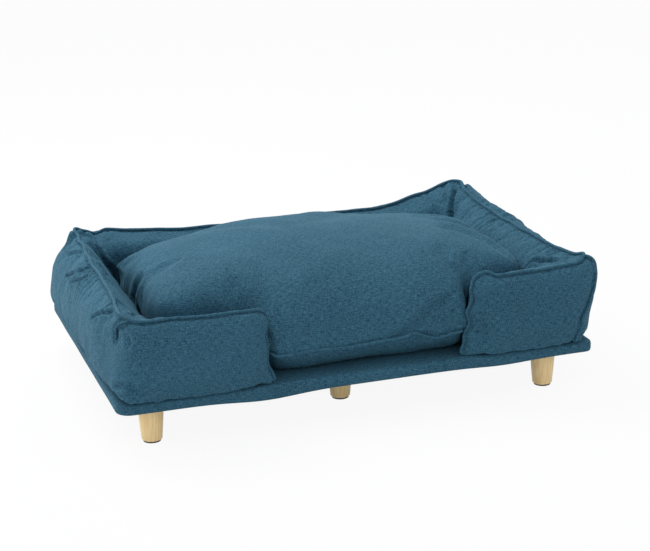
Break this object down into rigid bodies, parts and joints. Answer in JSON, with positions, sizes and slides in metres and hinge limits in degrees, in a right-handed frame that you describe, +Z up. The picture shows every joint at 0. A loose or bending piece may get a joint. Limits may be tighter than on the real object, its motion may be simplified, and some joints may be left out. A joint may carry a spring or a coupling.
{
  "type": "raised dog sofa bed",
  "caption": "Raised pet sofa bed: upholstered board on turned wooden legs, stuffed bolster surround with a front entry gap, and a plump loose seat cushion.",
  "frame": {"origin": "on the floor at the middle of the footprint", "axes": "+X to the right seen from the front, -Y towards the front with the entry gap, +Z up"},
  "size_m": [1.022, 0.734, 0.3096],
  "materials": {
    "woven_fabric": "heathered plain weave, matt",
    "pale_wood": "clear satin lacquer, straight grain along the leg",
    "plywood": "raw sanded",
    "foam": "open-cell foam",
    "fibre_fill": "soft white fibre wadding",
    "lining": "thin black non-woven",
    "staple_steel": "zinc plated wire",
    "fastener_steel": "zinc plated",
    "glide_plastic": "black moulded",
    "tape": "hook-and-loop nap",
    "zip_tape": "woven tape with a nylon coil",
    "zip_metal": "nickel plated"
  },
  "bodies": {
    "base": {"base_board": "plywood", "base_foam": "foam", "base_cover": "woven_fabric", "underside_lining": "lining", "lining_staples": "staple_steel", "tee_nuts": "fastener_steel", "hanger_bolts": "fastener_steel", "leg_front_left": "pale_wood", "leg_front_middle": "pale_wood", "leg_front_right": "pale_wood", "leg_back_left": "pale_wood", "leg_back_middle": "pale_wood", "leg_back_right": "pale_wood", "leg_glides": "glide_plastic", "hook_strips": "tape"},
    "surround": {"back_bolster_cover": "woven_fabric", "left_arm_cover": "woven_fabric", "right_arm_cover": "woven_fabric", "front_left_arm_cover": "woven_fabric", "front_right_arm_cover": "woven_fabric", "back_bolster_fill": "fibre_fill", "left_arm_fill": "fibre_fill", "right_arm_fill": "fibre_fill", "front_left_arm_fill": "fibre_fill", "front_right_arm_fill": "fibre_fill", "rim_welt": "woven_fabric", "loop_strips": "tape"},
    "seat_cushion": {"cushion_cover": "woven_fabric", "cushion_fill": "fibre_fill", "cushion_welt": "woven_fabric", "zip_tape": "zip_tape", "zip_stops": "zip_metal"},
    "zip_slider": {"zip_slider": "zip_metal"},
    "zip_pull": {"zip_pull": "zip_metal"}
  },
  "joints": [
    {"name": "surround_lift", "type": "slide", "parent": "base", "child": "surround", "axis": [0, 0, 1], "range_m": [0, 0.22]},
    {"name": "cushion_lift", "type": "slide", "parent": "surround", "child": "seat_cushion", "axis": [0, 0, 1], "range_m": [0, 0.22]},
    {"name": "zip_run", "type": "slide", "parent": "seat_cushion", "child": "zip_slider", "axis": [1, 0, 0], "range_m": [0, 0.44]},
    {"name": "pull_swing", "type": "hinge", "parent": "zip_slider", "child": "zip_pull", "pos_m": [-0.2202, 0.21832, 0.12256], "axis": [1, 0, 0], "range_deg": [-30, 60]}
  ]
}
